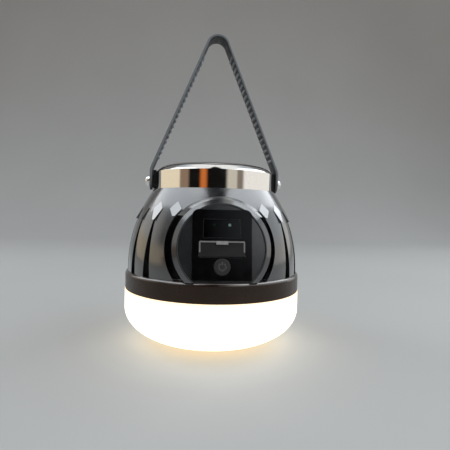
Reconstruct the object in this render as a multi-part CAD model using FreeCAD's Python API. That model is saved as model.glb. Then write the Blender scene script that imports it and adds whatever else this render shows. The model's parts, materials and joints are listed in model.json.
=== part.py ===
import FreeCAD, Part
import math
import os
from FreeCAD import Placement, Rotation, Vector

# Rechargeable camping lantern, in millimetres. The origin is the middle of the
# flat that it stands on, +Z is up and the control panel faces -Y.

# Dome
dome_radius = 65.0
dome_height = 40.0
dome_straight = 13.5
dome_foot_radius = 20.0
dome_wall = 2.2
snap_bead = 0.8
snap_bead_height = 1.5
snap_bead_rise = 4.5
snap_bead_count = 6
snap_bead_arc = 16.0
snap_gap = 0.2
seal_thickness = 1.3
seal_width = 1.8

# Trim ring
trim_inset = 0.2
trim_height = 13.0
trim_skirt = 3.3
trim_flange = 3.5
trim_edge_radius = 2.2
trim_lower_radius = 0.6
neck_gap = 0.2

# Lamp plate and lights
plate_gap = 0.3
plate_lap = 1.5
plate_thickness = 2.0
led_board_gap = 1.2
led_board_thickness = 1.6
led_size = 3.5
led_height = 0.8
led_ring_count = 3
led_ring_step = 13.4
led_step_count = 6
lamp_wire_hole = 2.4

# Housing
cell_overreach = 5.7
housing_ledge = 1.8
housing_straight = 3.0
housing_shelf = 1.5
housing_wall = 2.4
spigot_gap = 0.15
spigot_wall = 2.75
spigot_depth = 3.0
neck_wall = 2.4

# Grooves between the ribs, each under a raised diamond facet that is flush at its top
groove_count = 22
groove_drop = 9.3
groove_top_depth = 0.4
groove_top_width = 1.8
groove_bottom_width = 7.0
groove_reach = 25.0
diamond_width = 9.0
diamond_rise = 4.8
diamond_tail = 7.6
diamond_slope = 29.5
pod_diamond_tail = 4.8

# Control pod on the front
pod_tilt = 9.0
pod_rise = 21.0
pod_inset = 1.5
pod_margin = 0.5
pod_flare_angle = 30.0
pod_flare_depth = 8.0
pod_wall = 2.9
pod_ring_width = 3.5
pod_ring_height = 1.6
pod_ring_crest = 0.6
pod_front_wall = 5.0
pod_pocket_floor = 3.0
moat_width = 4.7
moat_wall = 1.9
moat_top_drop = 18.3

# Fascia
fascia_width = 37.8
fascia_top_margin = 6.0
fascia_low_margin = 3.4
fascia_strip = 0.5
window_strip = 1.9
fascia_proud = 0.6
fascia_thickness = 3.0
fascia_top_corner = 4.5
fascia_low_corner = 1.5
fascia_gap = 0.15

# Display window
window_width = 23.6
window_height = 11.7
window_corner = 0.8
window_ledge = 1.3
lens_thickness = 1.2
glue_gap = 0.1

# Port flap
flap_height = 10.0
flap_rise = -0.5
flap_thickness = 2.0
flap_gap = 0.2
flap_depth_gap = 0.3
flap_rim = 0.9
flap_rim_height = 0.45
flap_lip_width = 7.5
flap_lip_height = 2.2
flap_lip_proud = 1.2
flap_pin_radius = 0.6
flap_pin_reach = 1.9
flap_pin_gap = 0.05
flap_corner = 0.8
port_ledge = 1.4

# Power button
button_radius = 5.2
button_proud = 0.8
button_gap = 0.2
button_flange = 1.0
button_flange_height = 1.1
button_travel = 1.0
button_stem_radius = 2.0
button_edge = 0.5
button_slack = 0.1
symbol_radius = 2.5
symbol_line = 0.6
symbol_height = 0.25
symbol_gap_angle = 70.0

# Control board and what it carries
board_depth = 16.0
board_side_inset = 2.1
board_end_inset = 3.2
board_thickness = 1.6
board_corner = 2.0
board_post_radius = 2.2
board_post_inset = 2.7
board_screw_radius = 0.9
switch_size = 6.0
switch_height = 3.5
switch_plunger_radius = 1.7
switch_plunger_proud = 1.5
switch_well = 2.8
switch_gap = 0.1
guide_gap = 0.2
guide_clear = 0.4
guide_wall = 0.9
indicator_count = 3
indicator_pitch = 4.9
indicator_size = 2.0
indicator_height = 1.0
usb_mouth_gap = 0.2
usb_margin = 0.4
usb_between = 2.7
usb_a_width = 13.6
usb_a_height = 6.0
usb_c_width = 9.0
usb_c_height = 3.3
usb_shell = 0.35
usb_back = 1.2
usb_a_tongue_height = 1.9
usb_c_tongue_height = 0.7
usb_tongue_inset = 0.9
usb_tongue_margin = 0.8
connector_width = 6.0
connector_height = 5.0
connector_depth = 4.5
connector_across = 8.5
connector_rise = 13.0
connector_drop = 10.0
coil_radius = 4.0
coil_height = 3.6

# Batteries
cell_radius = 9.1
cell_length = 65.0
cell_spacing = 1.8
cell_gap = 0.15
cell_back = 6.0
cell_link = 0.2
holder_wall = 1.95
holder_floor = 2.0
holder_grip = 8.0
bolt_radius = 1.5
bolt_gap = 0.1

# Collar and solar top
collar_radius = 43.75
collar_wall = 2.45
collar_gap = 0.1
collar_band = 12.7
collar_seal_thickness = 2.0
crown_height = 5.4
crown_bore = 33.2
crown_lip = 1.3
crown_bulge = 0.9
seat_depth = 3.4
seat_lap = 2.7
seat_thickness = 2.5
solar_gap = 0.2
solar_plate_thickness = 1.2
solar_edge = 1.9
solar_rise = 3.0

# Handle
pivot_rise = 6.3
lug_proud = 2.0
lug_width = 9.5
lug_shelf_gap = 0.6
lug_above = 8.0
lug_corner = 3.0
lug_gap = 0.05
lug_boss_radius = 5.0
shoulder_gap = 0.34
strap_gap = 0.2
strap_thickness = 2.0
strap_width = 14.5
strap_tab_lift = 0.7
strap_rise = 109.4
strap_bend_radius = 10.0
strap_bend_rise = 8.8
strap_apex_radius = 7.0
rib_pitch = 4.3
rib_width = 1.7
rib_height = 1.0
rib_length = 12.5
rib_root = 0.3
rib_margin = 8.0
screw_radius = 2.0
screw_gap = 0.05
screw_head_radius = 4.2
screw_head_height = 3.8
screw_slot = 0.9
screw_slot_length = 4.2
screw_slot_depth = 0.8
bush_wall = 1.0
bush_slack = 0.15
pivot_gap = 0.05
nut_across = 7.0
nut_height = 3.0
nut_seat = 0.5
nut_room = 1.0

# Small screws
plate_screw_radius = 1.5
plate_screw_length = 12.0
plate_screw_head = 2.8
plate_screw_head_height = 1.8
plate_boss_radius = 3.75
plate_boss_merge = 0.65
plate_boss_height = 16.0
plate_boss_steps = (3, 8, 14, 19)
small_screw_radius = 1.0
small_screw_head = 1.9
small_screw_head_height = 1.2
small_screw_length = 4.0

# Inner wires
wire_radius = 0.9
wire_arc_share = 0.45
solar_wire_across = 20.0
solar_wire_front = 14.0
solar_wire_drop = 10.0
solar_wire_inward = 4.0
solar_wire_forward = 8.0
solar_wire_fall = 14.0
solar_wire_end = 12.0
battery_wire_out = 7.0
battery_wire_rise = 16.0
battery_wire_end = 10.0
lamp_wire_rise = 9.0
lamp_wire_end = 5.0

# Radii of the lamp and the housing's base
trim_radius = dome_radius - trim_inset
skirt_bore = trim_radius - trim_skirt
dome_neck_radius = skirt_bore - neck_gap
dome_neck_bore = dome_neck_radius - dome_wall
dome_neck_height = trim_height - trim_flange - seal_thickness
plate_radius = dome_neck_bore - plate_gap
flange_bore = plate_radius - plate_lap
spigot_radius = flange_bore - spigot_gap
cavity_base_radius = spigot_radius - spigot_wall
boss_ring = cavity_base_radius - plate_boss_radius + plate_boss_merge
led_board_radius = boss_ring - plate_screw_head - led_board_gap
led_screw_ring = 1.5 * led_ring_step
lamp_wire_ring = 2.5 * led_ring_step

# Heights of the main edges
z_trim = dome_height
z_ledge = z_trim + trim_height
z_plate = z_ledge - trim_flange
z_board = z_plate - plate_thickness
z_led = z_board - led_board_thickness
z_cells = z_plate + holder_floor + cell_link
z_shelf = z_ledge + cell_length - cell_overreach
z_band_top = z_shelf + collar_band
z_crown = z_band_top + crown_height
z_seat = z_crown - seat_depth
z_solar = z_seat + solar_plate_thickness
z_collar_floor = z_seat - seat_thickness
z_neck_top = z_collar_floor - collar_seal_thickness
z_pivot = z_shelf + pivot_rise
z_groove_top = z_shelf - groove_drop
z_moat_top = z_shelf - moat_top_drop

# The housing's side: upright at its foot, then an arc up to the collar's shelf
housing_radius = trim_radius - housing_ledge
housing_top_radius = collar_radius + housing_shelf
z_bend = z_ledge + housing_straight
side_fall = housing_radius - housing_top_radius
side_arc_radius = ((z_shelf - z_bend) ** 2 + side_fall ** 2) / (2 * side_fall)


def side_radius(height, inset=0):
    """Radius of the housing's side at a height, inset by a wall."""
    above = max(height - z_bend, 0)
    return housing_radius - side_arc_radius + math.sqrt((side_arc_radius - inset) ** 2 - above ** 2)


cavity_top_radius = side_radius(z_groove_top) - groove_top_depth - housing_wall
neck_radius = collar_radius - collar_wall - collar_gap
neck_bore = neck_radius - neck_wall
solar_radius = crown_bore - solar_gap

# The handle: its tabs clear the housing's shoulder as they turn
tab_reach = math.hypot(strap_width / 2, strap_tab_lift)
strap_inner = side_radius(z_pivot - tab_reach) + shoulder_gap
strap_outer = strap_inner + strap_thickness
lug_face = strap_inner - strap_gap
lug_block_face = collar_radius + lug_proud
bush_radius = screw_radius + screw_gap + bush_wall
bush_end = strap_outer + bush_slack
z_strap_top = z_pivot + strap_rise

# Places up the fascia: the window above the flap and the button below it
flap_half = flap_height / 2
window_rise = flap_rise + flap_half + flap_gap + window_strip + window_height / 2
button_drop = flap_half - flap_rise + flap_gap + fascia_strip + button_gap + button_radius
fascia_top = window_rise + window_height / 2 + fascia_top_margin
fascia_bottom = button_drop + button_radius + fascia_low_margin
port_half = (usb_a_width + usb_between + usb_c_width) / 2 + usb_margin
flap_width = 2 * (port_half + port_ledge)
usb_a_place = usb_margin + usb_a_width / 2 - port_half
usb_c_place = port_half - usb_margin - usb_c_width / 2
guide_width = window_width - 2 * window_ledge - 2 * guide_clear
guide_height = window_height - 2 * window_ledge - 2 * guide_clear
board_width = fascia_width - 2 * board_side_inset
board_top = fascia_top - board_end_inset
board_bottom = fascia_bottom - board_end_inset
connector_places = ((-connector_across, connector_rise), (connector_across, connector_rise),
                    (0, -connector_drop))
coil_place = (connector_across, 0)

# Cells and their holders
cell_pitch = 2 * cell_radius + cell_spacing
cell_ring = cell_pitch / math.sqrt(3)
holder_radius = cell_ring + cell_radius + holder_wall

# The pod's ring goes round the fascia's top corners
pod_radius = math.hypot(fascia_width / 2, fascia_top) + pod_margin
moat_radius = pod_radius + moat_width

# The pod's own frame: u to the right, v up its face and n out of its face
pod_middle_y = -(housing_radius - pod_inset) + pod_rise * math.tan(math.radians(pod_tilt))
pod_origin = Vector(0, pod_middle_y, z_ledge + pod_rise)
pod_place = Placement(pod_origin, Rotation(Vector(1, 0, 0), 90 - pod_tilt))
far = 4 * dome_radius

# Levels along the pod's n axis
n_fascia_back = fascia_proud - fascia_thickness
n_flap_back = fascia_proud - flap_thickness
n_port_floor = n_flap_back - flap_depth_gap
n_board = -board_depth
n_stem_end = n_board + switch_height + switch_plunger_proud
n_usb = n_fascia_back - usb_mouth_gap
n_flange_top = n_fascia_back - button_slack
flap_axis_v = flap_rise - flap_half + flap_thickness / 2
flap_axis_n = fascia_proud - flap_thickness / 2


def upright(x, z):
    """Point of an outline drawn in the XZ plane."""
    return Vector(x, 0, z)


def flat(x, y):
    """Point of an outline drawn in the XY plane."""
    return Vector(x, y, 0)


def rounded_wire(corners, place):
    """Closed outline through (a, b, radius) corners, each rounded by its own arc."""
    points = [place(a, b) for a, b, radius in corners]
    count = len(points)
    starts = []
    arcs = []
    for i, corner in enumerate(corners):
        before = (points[i - 1] - points[i]).normalize()
        after = (points[(i + 1) % count] - points[i]).normalize()
        if corner[2] == 0:
            starts.append((points[i], points[i]))
            arcs.append(None)
            continue
        half = before.getAngle(after) / 2
        reach = corner[2] / math.tan(half)
        middle = (before + after).normalize() * (corner[2] / math.sin(half) - corner[2])
        first = points[i] + before * reach
        last = points[i] + after * reach
        starts.append((first, last))
        arcs.append(Part.Arc(first, points[i] + middle, last).toShape())
    edges = []
    for i in range(count):
        if arcs[i]:
            edges.append(arcs[i])
        run_start = starts[i][1]
        run_end = starts[(i + 1) % count][0]
        if run_start.distanceToPoint(run_end) > 1e-6:
            edges.append(Part.makeLine(run_start, run_end))
    return Part.Wire(edges)


def square(*corners):
    """Corners with no rounding."""
    return [(a, b, 0) for a, b in corners]


def turned(corners):
    """Solid of revolution about Z from an outline of (radius, height, rounding) corners."""
    face = Part.Face(rounded_wire(corners, upright))
    return face.revolve(Vector(0, 0, 0), Vector(0, 0, 1), 360)


def tube(inner, outer, low, high):
    """Plain ring about Z."""
    return turned(square((inner, low), (outer, low), (outer, high), (inner, high)))


def post(radius, low, high, x=0, y=0):
    """Plain upright cylinder."""
    return Part.makeCylinder(radius, high - low, Vector(x, y, low))


def around(shape, angle):
    """Copy of a shape turned about Z."""
    copy = shape.copy()
    copy.rotate(Vector(0, 0, 0), Vector(0, 0, 1), angle)
    return copy


def on_pod(shape):
    """Shape drawn in the pod's own frame, put in its place on the lantern."""
    copy = shape.copy()
    copy.Placement = pod_place.multiply(copy.Placement)
    return copy


def pod_point(u, v, n):
    """Point given in the pod's own frame."""
    return pod_place.multVec(Vector(u, v, n))


def pad(width, bottom, top, low, high, corner=0, foot=0, u=0):
    """Block in the pod's frame, width wide about u, with rounded upper and lower corners."""
    half = width / 2
    outline = [(u - half, bottom, foot), (u + half, bottom, foot),
               (u + half, top, corner), (u - half, top, corner)]
    face = Part.Face(rounded_wire(outline, flat))
    face.translate(Vector(0, 0, low))
    return face.extrude(Vector(0, 0, high - low))


def peg(radius, low, high, u=0, v=0):
    """Cylinder along n in the pod's frame."""
    return Part.makeCylinder(radius, high - low, Vector(u, v, low))


def quarter_curve(start, corner, end):
    """Quarter of an ellipse from start to end, heading for their shared corner."""
    curve = Part.BezierCurve()
    curve.setPoles([start, corner, end])
    curve.setWeight(2, math.cos(math.pi / 4))
    return curve.toShape()


def dome_curve(inset, height):
    """Outline of the dome, inset by a wall, from the middle of its foot up to a height."""
    bend = dome_height - dome_straight
    radius = dome_radius - inset
    foot = upright(dome_foot_radius, inset)
    knee = upright(radius, bend)
    return [Part.makeLine(upright(0, inset), foot),
            quarter_curve(knee, upright(radius, inset), foot),
            Part.makeLine(knee, upright(radius, height))]


def make_diffuser_dome():
    """Milky dome with a thick rim and a neck that snaps into the trim ring."""
    outer = dome_curve(0, z_trim)
    inner = dome_curve(dome_wall, z_trim - dome_wall)
    neck_top = z_trim + dome_neck_height
    rim = [upright(dome_radius, z_trim), upright(dome_neck_radius, z_trim),
           upright(dome_neck_radius, neck_top), upright(dome_neck_bore, neck_top),
           upright(dome_neck_bore, z_trim - dome_wall), upright(dome_radius - dome_wall, z_trim - dome_wall)]
    closing = [Part.makeLine(a, b) for a, b in zip(rim, rim[1:])]
    middle = [Part.makeLine(upright(0, 0), upright(0, dome_wall))]
    wire = Part.Wire(Part.__sortEdges__(outer + inner + closing + middle))
    dome = Part.Face(wire).revolve(Vector(0, 0, 0), Vector(0, 0, 1), 360)
    return dome.fuse(snap_beads())


def snap_beads():
    """Short beads around the dome's neck."""
    low = z_trim + snap_bead_rise
    outline = square((dome_neck_radius - dome_wall / 2, low), (dome_neck_radius + snap_bead, low),
                     (dome_neck_radius + snap_bead, low + snap_bead_height),
                     (dome_neck_radius - dome_wall / 2, low + snap_bead_height))
    face = Part.Face(rounded_wire(outline, upright))
    bead = face.revolve(Vector(0, 0, 0), Vector(0, 0, 1), snap_bead_arc)
    return [around(bead, 360 / snap_bead_count * i) for i in range(snap_bead_count)]


def make_dome_seal():
    """Flat rubber ring squeezed between the dome's neck and the trim ring."""
    return tube(dome_neck_radius - seal_width, dome_neck_radius, z_plate - seal_thickness, z_plate)


def make_trim_ring():
    """Ring with a flange under the housing and a skirt around the dome's neck."""
    groove_low = z_trim + snap_bead_rise - snap_gap
    groove_high = groove_low + snap_bead_height + 2 * snap_gap
    groove_radius = dome_neck_radius + snap_bead + snap_gap
    outline = [(trim_radius, z_trim, trim_lower_radius), (trim_radius, z_ledge, trim_edge_radius),
               (flange_bore, z_ledge, 0), (flange_bore, z_plate, 0), (skirt_bore, z_plate, 0),
               (skirt_bore, groove_high, 0), (groove_radius, groove_high, 0),
               (groove_radius, groove_low, 0), (skirt_bore, groove_low, 0), (skirt_bore, z_trim, 0)]
    return turned(outline)


def boss_angles():
    """Directions of the plate's screws: behind grooves, clear of the pod."""
    return [360 / groove_count * step for step in plate_boss_steps]


def make_lamp_plate():
    """Metal plate that clamps the trim ring to the housing."""
    plate = post(plate_radius, z_board, z_plate)
    wide = post(plate_screw_radius + screw_gap, z_board, z_plate, 0, -boss_ring)
    narrow = post(small_screw_radius, z_board, z_plate, led_screw_ring)
    holes = [around(wide, angle) for angle in boss_angles()]
    holes += [around(narrow, angle) for angle in led_screw_angles()]
    holes.append(post(lamp_wire_hole, z_board, z_plate, 0, -lamp_wire_ring))
    return plate.cut(holes)


def led_screw_angles():
    """Directions of the three screws that hold the light board."""
    return [90 + 120 * i for i in range(3)]


def make_led_board():
    """Aluminium board that carries the lights."""
    board = post(led_board_radius, z_led, z_board)
    reach = small_screw_radius + screw_gap
    return board.cut([around(post(reach, z_led, z_board, led_screw_ring), a) for a in led_screw_angles()])


def make_led_chips():
    """Rings of lights on the underside of the board."""
    chips = []
    for i in range(1, led_ring_count + 1):
        ring = led_ring_step * i
        count = led_step_count * i
        chip = Part.makeBox(led_size, led_size, led_height,
                            Vector(ring - led_size / 2, -led_size / 2, z_led - led_height))
        chips += [around(chip, 360 / count * (j + 0.5)) for j in range(count)]
    return Part.makeCompound(chips)


def upward_screw(radius, head, head_height, seat, length):
    """Screw with its head below the seat, pointing up."""
    shank = post(radius, seat, seat + length)
    return shank.fuse(post(head, seat - head_height, seat))


def make_led_screws():
    """Three screws through the light board into the lamp plate."""
    length = led_board_thickness + plate_thickness
    screw = upward_screw(small_screw_radius, small_screw_head, small_screw_head_height, z_led, length)
    screw.translate(Vector(led_screw_ring, 0, 0))
    return Part.makeCompound([around(screw, a) for a in led_screw_angles()])


def make_plate_screws():
    """Four screws through the lamp plate into the housing's bosses."""
    screw = upward_screw(plate_screw_radius, plate_screw_head, plate_screw_head_height,
                         z_board, plate_screw_length)
    screw.translate(Vector(0, -boss_ring, 0))
    return Part.makeCompound([around(screw, a) for a in boss_angles()])


def ogive(inset, low, high):
    """Solid inside the housing's side, inset by a wall."""
    radius = housing_radius - inset
    middle = (z_bend + high) / 2
    foot = upright(radius, z_bend)
    top = upright(side_radius(high, inset), high)
    arc = Part.Arc(foot, upright(side_radius(middle, inset), middle), top).toShape()
    points = [top, upright(0, high), upright(0, low), upright(radius, low), foot]
    lines = [Part.makeLine(a, b) for a, b in zip(points, points[1:])]
    return Part.Face(Part.Wire([arc] + lines)).revolve(Vector(0, 0, 0), Vector(0, 0, 1), 360)


def cone(grow, low, high):
    """Tapered core of the housing, as it would run from low to high, grown by a wall."""
    slope = (cavity_base_radius - cavity_top_radius) / (z_groove_top - z_ledge)
    low_radius = cavity_base_radius + grow - slope * (low - z_ledge)
    high_radius = cavity_base_radius + grow - slope * (high - z_ledge)
    return turned(square((0, low), (low_radius, low), (high_radius, high), (0, high)))


def mirrored(right):
    """Closed outline from the half widths of its right side and their heights, from its foot up."""
    left = [(-across, height) for across, height in reversed(right) if across > 0]
    return square(*(right + left))


def radial(outline, radius_at, reach, angle):
    """Solid that reaches outwards from a flat face at a radius for each height, turned to an angle."""
    face = Part.Face(rounded_wire(outline, lambda across, height: Vector(across, -radius_at(height), height)))
    return around(face.extrude(Vector(0, -reach, 0)), angle)


def groove_floor(height):
    """Radius of the grooves' slanted floor at a height."""
    slope = (cavity_base_radius - cavity_top_radius) / (z_groove_top - z_ledge)
    return cavity_base_radius + housing_wall - slope * (height - z_ledge)


def groove_cutter(angle):
    """Groove that widens from the tail of its diamond down to the trim ring."""
    top = z_groove_top - diamond_rise - diamond_tail
    outline = mirrored([(groove_bottom_width / 2, z_ledge), (groove_top_width / 2, top)])
    return radial(outline, groove_floor, groove_reach, angle)


def diamond(angle, tail):
    """Raised diamond facet at the head of a groove, its lower half as long as its tail."""
    middle = z_groove_top - diamond_rise
    foot = (groove_top_width / 2, middle - tail)
    outline = mirrored([foot, (diamond_width / 2, middle), (0, z_groove_top)])

    def facet(height):
        return side_radius(z_groove_top) + (z_groove_top - height) * math.tan(math.radians(diamond_slope))
    return radial(outline, facet, -housing_wall, angle)


def groove_angles():
    """Directions of the grooves: all round, apart from the pod."""
    return [360 / groove_count * i for i in range(3, groove_count - 2)]


def pod_diamond_angles():
    """Directions of the two diamonds beside the pod, which have no groove under them."""
    return [360 / groove_count * 2, -360 / groove_count * 2]


def diamonds():
    """All the raised diamonds."""
    facets = [diamond(angle, diamond_tail) for angle in groove_angles()]
    return facets + [diamond(angle, pod_diamond_tail) for angle in pod_diamond_angles()]


def groove_walls():
    """Room that stays solid behind the grooves and diamonds, a wall thick."""
    half = diamond_width / 2 + housing_wall
    foot = groove_bottom_width / 2 + housing_wall
    middle = z_groove_top - diamond_rise
    outline = mirrored([(foot, z_ledge - housing_wall), (half, middle), (half, z_shelf)])

    def back(height):
        return groove_floor(height) - 2 * housing_wall
    return [radial(outline, back, groove_reach, angle) for angle in groove_angles() + pod_diamond_angles()]


def slab(low, high):
    """Wide flat slab between two heights."""
    return Part.makeBox(2 * far, 2 * far, high - low, Vector(-far, -far, low))


def moat(grow):
    """Recess around the sides of the pod, down to the grooves' floor."""
    inner = pod_radius - (pod_wall if grow else 0)
    ring = peg(moat_radius + grow, -far, far).cut(peg(inner, -far, far))
    ring = on_pod(ring).common(slab(z_ledge - grow, z_moat_top + grow))
    front = Part.makeBox(2 * far, far, far, Vector(-far, -far, 0))
    return ring.common(front).cut(cone(0 if grow else moat_wall, 0, z_shelf))


def make_upper_housing():
    """Ribbed shell with the control pod on its front and a neck for the collar."""
    body = ogive(0, z_ledge, z_shelf)
    body = body.fuse([post(neck_radius, z_shelf - housing_wall, z_neck_top),
                      post(spigot_radius, z_ledge - spigot_depth, z_ledge + housing_wall)])
    body = body.cut([groove_cutter(angle) for angle in groove_angles()])
    body = body.fuse(diamonds() + [pod_flare()])
    body = body.cut(moat(0))
    body = body.cut(on_pod(peg(pod_radius, 0, far)))
    body = body.fuse(pod_block())
    body = body.cut(housing_cavity())
    body = body.cut(pod_openings())
    body = body.fuse(housing_bosses())
    return body.cut(housing_holes()).removeSplitter()


def pod_flare():
    """Sloping shoulder under the pod's ring, above its moat, that runs into the housing's side."""
    spread = pod_flare_depth * math.tan(math.radians(pod_flare_angle))
    flare = Part.makeCone(pod_radius + spread, pod_radius, pod_flare_depth, Vector(0, 0, -pod_flare_depth))
    return on_pod(flare).common(slab(z_moat_top, z_shelf))


def pod_block():
    """Solid pod and its raised ring, which slopes outwards, above the trim ring's ledge."""
    block = peg(pod_radius, -pod_radius, 0)
    inner = pod_radius - pod_ring_width
    ring = turned(square((inner, 0), (pod_radius, 0), (inner + pod_ring_crest, pod_ring_height),
                         (inner, pod_ring_height)))
    return on_pod(block.fuse(ring)).common(slab(z_ledge, z_shelf))


def housing_cavity():
    """Everything hollow behind the ribs, the shoulder and the neck."""
    roof = z_shelf - housing_wall
    core = cone(0, z_ledge - spigot_depth, z_groove_top)
    shoulder = turned(square((0, z_groove_top), (cavity_top_radius, z_groove_top),
                             (neck_bore, roof), (0, roof)))
    neck = post(neck_bore, roof, z_neck_top)
    ribs = ogive(housing_wall, z_ledge + housing_wall, z_groove_top)
    ribs = ribs.cut(groove_walls() + [moat(housing_wall)])
    return core.fuse([shoulder, neck, ribs.cut(on_pod(peg(pod_radius, -far, far)))])


def fascia_blank(grow, low, high):
    """Outline of the fascia, grown by a clearance, between two depths."""
    return pad(fascia_width + 2 * grow, -fascia_bottom - grow, fascia_top + grow, low, high,
               fascia_top_corner + grow, fascia_low_corner + grow)


def pod_openings():
    """Pocket behind the pod's face, the fascia's recess and the holes between them."""
    pocket = on_pod(peg(pod_radius - pod_wall, -pod_radius, -pod_front_wall))
    pocket = pocket.common(slab(z_ledge + pod_pocket_floor, z_shelf))
    recess = fascia_blank(fascia_gap, n_fascia_back, far)
    through = -pod_front_wall
    window = pad(guide_width + 2 * guide_gap, window_rise - guide_height / 2 - guide_gap,
                 window_rise + guide_height / 2 + guide_gap, through, n_fascia_back)
    ports = port_room(through, n_fascia_back)
    button = peg(button_radius + button_flange + 2 * button_gap, through, n_fascia_back, 0, -button_drop)
    return [pocket, on_pod(recess), on_pod(window), on_pod(ports), on_pod(button)]


def port_room(low, high):
    """Opening under the flap that the ports are reached through."""
    reach = flap_half - port_ledge
    return pad(2 * port_half, flap_rise - reach, flap_rise + reach, low, high)


def board_post_places():
    """Where the control board's screws stand, in the pod's frame."""
    across = board_width / 2 - board_post_inset
    heights = (board_top - board_post_inset, board_post_inset - board_bottom)
    return [(side * across, v) for side in (-1, 1) for v in heights]


def housing_bosses():
    """Bosses for the lamp plate's screws and posts for the control board."""
    boss = post(plate_boss_radius, z_plate, z_plate + plate_boss_height, 0, -boss_ring)
    bosses = [around(boss, angle) for angle in boss_angles()]
    posts = [on_pod(peg(board_post_radius, n_board, -pod_front_wall, u, v)) for u, v in board_post_places()]
    return bosses + posts


def housing_holes():
    """Pilot holes for the screws, the pivot holes and flats for the nuts."""
    pilot = post(plate_screw_radius, z_plate, z_plate + plate_screw_length, 0, -boss_ring)
    holes = [around(pilot, angle) for angle in boss_angles()]
    reach = n_board + small_screw_length
    holes += [on_pod(peg(board_screw_radius, n_board, reach, u, v)) for u, v in board_post_places()]
    holes.append(along_x(screw_radius + screw_gap, -far, far))
    half = nut_across / 2 + nut_room
    seat = neck_bore + nut_seat
    holes.append(Part.makeBox(2 * seat, 2 * half, 2 * half, Vector(-seat, -half, z_pivot - half)))
    return holes


def along_x(radius, start, end):
    """Cylinder along X through the handle's pivots."""
    return Part.makeCylinder(radius, end - start, Vector(start, 0, z_pivot), Vector(1, 0, 0))


def both_sides(shape):
    """A right-hand shape and its mirror image on the left."""
    return [shape, shape.mirror(Vector(0, 0, 0), Vector(1, 0, 0))]


def make_chrome_collar():
    """Chrome band with a rounded crown that holds the solar top."""
    bore = neck_radius + collar_gap
    lip = crown_bore + crown_lip
    edge = upright(collar_radius, z_band_top)
    crest = upright(lip, z_crown)
    middle = (edge + crest) * 0.5 + upright(crown_bulge, crown_bulge)
    ledge = crown_bore - seat_lap
    points = [crest, upright(crown_bore, z_crown), upright(crown_bore, z_seat), upright(ledge, z_seat),
              upright(ledge, z_collar_floor), upright(bore, z_collar_floor), upright(bore, z_shelf),
              upright(collar_radius, z_shelf), edge]
    edges = [Part.makeLine(a, b) for a, b in zip(points, points[1:])]
    wire = Part.Wire([Part.Arc(edge, middle, crest).toShape()] + edges)
    collar = Part.Face(wire).revolve(Vector(0, 0, 0), Vector(0, 0, 1), 360)
    return collar.cut(along_x(screw_radius + screw_gap, -far, far))


def make_collar_seal():
    """Rubber ring between the housing's neck and the collar."""
    return tube(neck_bore, neck_radius, z_neck_top, z_collar_floor)


def make_solar_plate():
    """Round plate of solar cells on the crown's seat."""
    return post(solar_radius, z_seat, z_solar)


def make_solar_cover():
    """Clear domed cover over the solar cells."""
    edge = upright(solar_radius, z_solar + solar_edge)
    top = upright(0, z_solar + solar_edge + solar_rise)
    arc_radius = (solar_radius ** 2 + solar_rise ** 2) / (2 * solar_rise)
    half_angle = math.asin(solar_radius / arc_radius) / 2
    middle = upright(arc_radius * math.sin(half_angle), top.z - arc_radius * (1 - math.cos(half_angle)))
    points = [top, upright(0, z_solar), upright(solar_radius, z_solar), edge]
    edges = [Part.makeLine(a, b) for a, b in zip(points, points[1:])]
    wire = Part.Wire(edges + [Part.Arc(edge, middle, top).toShape()])
    return Part.Face(wire).revolve(Vector(0, 0, 0), Vector(0, 0, 1), 360)


def make_lug():
    """Right-hand lug: a rounded block on the collar with a boss for the strap and the pivot hole."""
    half = lug_width / 2
    low = z_shelf + lug_shelf_gap
    high = z_pivot + lug_above
    outline = [(-half, low, lug_corner), (half, low, lug_corner), (half, high, lug_corner / 2),
               (-half, high, lug_corner / 2)]
    face = Part.Face(rounded_wire(outline, lambda y, z: Vector(lug_block_face, y, z)))
    block = face.extrude(Vector(-2 * lug_proud, 0, 0))
    block = block.cut(post(collar_radius + lug_gap, z_shelf, z_crown))
    boss = along_x(lug_boss_radius, lug_block_face, lug_face).common(slab(low, high))
    return block.fuse(boss).cut(along_x(screw_radius + screw_gap, 0, far))


def strap_lean():
    """Lean of the strap's sides from upright, so that they meet the arch as tangents."""
    rise = z_strap_top - strap_thickness - strap_apex_radius - z_pivot - strap_bend_rise
    return math.acos(strap_apex_radius / math.hypot(strap_inner, rise)) - math.atan2(rise, strap_inner)


def make_handle_strap():
    """Strap in a narrow arch, with round ends, pivot holes and ribs on its inner face."""
    lean = strap_lean()
    low = z_pivot - strap_width
    bend = z_pivot + strap_bend_rise
    meet = bend + strap_inner / math.tan(lean)
    outer_bend = bend + strap_thickness * math.tan(lean / 2)
    outer_meet = meet + strap_thickness / math.sin(lean)
    outer_apex = strap_apex_radius + strap_thickness
    outer_round = strap_bend_radius + strap_thickness
    outline = [(strap_outer, low, 0), (strap_outer, outer_bend, outer_round), (0, outer_meet, outer_apex),
               (-strap_outer, outer_bend, outer_round), (-strap_outer, low, 0), (-strap_inner, low, 0),
               (-strap_inner, bend, strap_bend_radius), (0, meet, strap_apex_radius),
               (strap_inner, bend, strap_bend_radius), (strap_inner, low, 0)]
    face = Part.Face(rounded_wire(outline, upright))
    face.translate(Vector(0, -strap_width / 2, 0))
    band = face.extrude(Vector(0, strap_width, 0))
    side_length = strap_inner / math.sin(lean) - strap_apex_radius / math.tan(lean)
    ribs = strap_ribs(lean, bend, side_length)
    return band.common(strap_side()).fuse(ribs).cut(along_x(bush_radius + pivot_gap, -far, far))


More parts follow.
